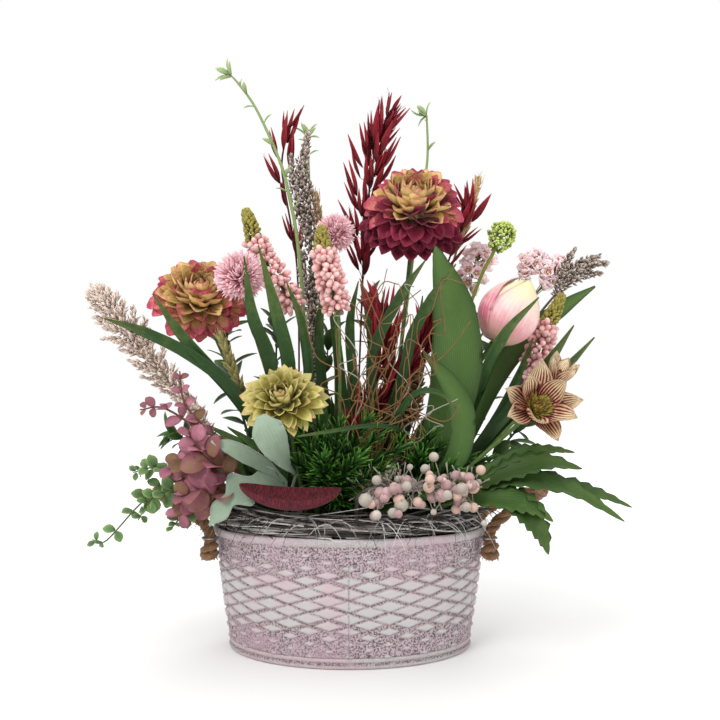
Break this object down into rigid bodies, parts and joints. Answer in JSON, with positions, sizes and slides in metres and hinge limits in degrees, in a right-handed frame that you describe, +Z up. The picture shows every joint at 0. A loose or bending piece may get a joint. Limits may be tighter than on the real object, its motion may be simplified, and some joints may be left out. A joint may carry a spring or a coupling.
{
  "type": "flower arrangement in bowl",
  "caption": "Mixed cloth flowers, grasses, berries and foliage standing in foam in an oval embossed zinc bowl with a rope handle at each end",
  "frame": {"origin": "centre of the bowl's flat underside, on the surface it stands on", "axes": "+Z up; +X to the right along the bowl's length, through both rope handles, seen from the show side; +Y away from the show side"},
  "size_m": [0.5285, 0.2475, 0.5703],
  "materials": {
    "zinc": "worn pink-mauve wash over pressed zinc, satin",
    "rope": "frayed natural jute rope",
    "wire": "dull galvanised wire",
    "twig": "grey-washed thin twigs, matte",
    "moss": "dark moss, matte",
    "foam": "dry floral foam",
    "petal_yellow_red": "dyed cloth petals, yellow-green hearts to crimson edges",
    "petal_yellow": "dyed cloth petals, yellow olive",
    "petal_cream": "dyed cloth petals, cream with a pink blush",
    "petal_pink": "soft pink florets",
    "petal_beige": "beige petals streaked with burgundy",
    "stem_green": "moulded green stem",
    "leaf_green": "green cloth leaf, satin",
    "leaf_sage": "felted sage leaf",
    "leaf_pale": "pale green sprig",
    "leaf_red": "mauve-red leaf",
    "burgundy": "dark burgundy spikelets",
    "straw": "dried straw and plume",
    "husk": "brown husk and tendril",
    "heather": "grey-brown granular flower spike",
    "berry": "dusty pink and cream berries on a grey twig",
    "waxbloom": "pink-white blossom",
    "yarrowbloom": "yellow-green flower head"
  },
  "bodies": {
    "root": {"zinc_bowl": "zinc", "rope_handle_left": "rope", "rope_handle_right": "rope", "eyelet_left_front": "wire", "eyelet_left_back": "wire", "eyelet_right_front": "wire", "eyelet_right_back": "wire", "twig_ring": "twig", "dahlia_left_head": "petal_yellow_red", "dahlia_left_stem": "stem_green", "scabious_left": "petal_pink", "muscari_left": "petal_pink", "mum_head": "petal_yellow", "mum_stem": "stem_green", "eucalyptus_red": "leaf_red", "trailing_vine": "leaf_green", "wheat_left": "straw", "plume_left": "straw", "grass_left": "leaf_green", "dusty_miller": "leaf_sage", "seed_pod_red": "burgundy", "muscari_centre": "petal_pink", "scabious_back": "petal_pink", "sprig_left": "leaf_pale", "heather_spike": "heather", "oat_left": "burgundy", "sprig_mid": "leaf_pale", "wheat_mid": "straw", "oat_centre": "burgundy", "oat_low": "burgundy", "dahlia_right_head": "petal_yellow_red", "dahlia_right_stem": "stem_green", "sprig_right": "leaf_pale", "seed_cone": "husk", "grass_centre": "leaf_green", "curly_tendrils": "husk", "berry_sprig": "berry", "tuft_left": "leaf_green", "tulip_head": "petal_cream", "tulip_stem": "stem_green", "tulip_leaf_broad": "leaf_green", "tulip_leaf_low": "leaf_green", "tulip_leaf_right": "leaf_green", "grass_right": "leaf_green", "muscari_right": "petal_pink", "hellebore_flower": "petal_beige", "hellebore_bud": "petal_beige", "hellebore_leaves": "leaf_green", "tuft_right": "leaf_green", "yarrow": "yarrowbloom", "oat_right": "burgundy", "wheat_right": "straw", "statice": "heather", "waxflower": "waxbloom", "greenery_back_left": "leaf_green", "greenery_back_right": "leaf_green", "floral_foam": "foam", "moss_bed": "moss"}
  },
  "joints": []
}
